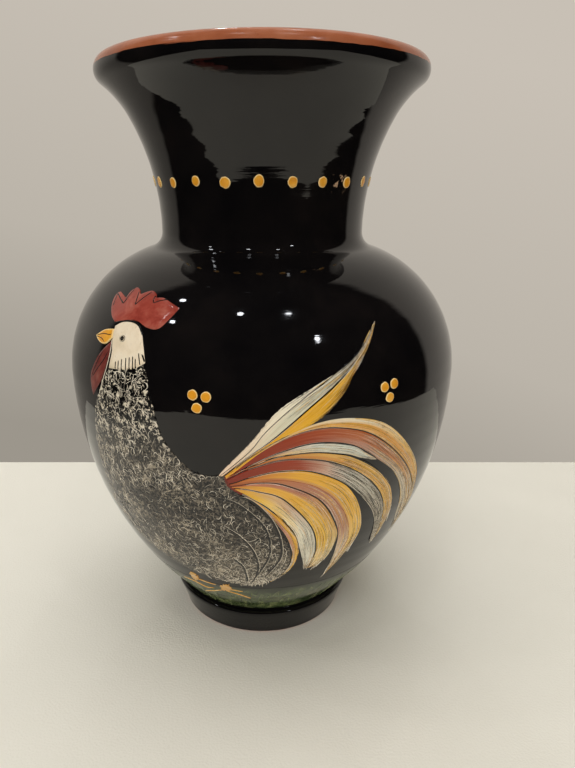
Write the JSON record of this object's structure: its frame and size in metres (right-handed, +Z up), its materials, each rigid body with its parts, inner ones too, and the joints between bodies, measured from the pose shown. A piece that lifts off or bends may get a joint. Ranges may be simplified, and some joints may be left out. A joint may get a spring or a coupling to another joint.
{
  "type": "painted pottery vase",
  "caption": "Round-bellied glazed clay vase with a flared neck, rolled rim and ring foot; stands flowers. A painted rooster with a sweeping tail covers the front.",
  "frame": {"origin": "centre of the ring foot's resting face, on the vase's axis", "axes": "+Z up along the vase's axis, -Y towards the painted front, +X to the viewer's right"},
  "size_m": [0.2, 0.2003, 0.29],
  "materials": {
    "terracotta_clay": "matte fired clay",
    "joining_slip": "matte fired slip",
    "black_glaze": "high gloss",
    "rim_slip": "gloss",
    "clear_glaze": "gloss over terracotta",
    "speckled_slip": "gloss, sponged cream on black",
    "cream_slip": "gloss",
    "comb_red_slip": "gloss",
    "wattle_red_slip": "gloss",
    "ochre_slip": "gloss",
    "eye_black_slip": "gloss",
    "grass_green_slip": "satin",
    "white_feather_slip": "gloss",
    "yellow_feather_slip": "gloss",
    "orange_feather_slip": "gloss",
    "russet_feather_slip": "gloss",
    "grey_feather_slip": "gloss"
  },
  "bodies": {
    "root": {"foot_ring": "terracotta_clay", "foot_lute": "joining_slip", "belly_wall": "terracotta_clay", "neck_lute": "joining_slip", "neck_wall": "terracotta_clay", "black_glaze_coat": "black_glaze", "rim_slip_band": "rim_slip", "clear_glaze_lining": "clear_glaze", "rooster_plumage": "speckled_slip", "rooster_head": "cream_slip", "rooster_comb": "comb_red_slip", "rooster_wattle": "wattle_red_slip", "rooster_beak": "ochre_slip", "rooster_eye": "eye_black_slip", "rooster_left_foot": "ochre_slip", "rooster_right_foot": "ochre_slip", "grass_band": "grass_green_slip", "neck_dots": "ochre_slip", "left_dot_trio": "ochre_slip", "right_dot_trio": "ochre_slip", "sickle_white_vane": "white_feather_slip", "sickle_yellow_vane": "yellow_feather_slip", "tail_rim_feather": "yellow_feather_slip", "tail_band_feather": "russet_feather_slip", "tail_grey_feather": "grey_feather_slip", "tail_leaf_feather": "orange_feather_slip", "tail_brushed_feather": "grey_feather_slip", "tail_drop_feather": "yellow_feather_slip", "tail_inner_feather": "orange_feather_slip", "tail_pale_feather": "grey_feather_slip", "tail_hugging_feather": "yellow_feather_slip"}
  },
  "joints": []
}
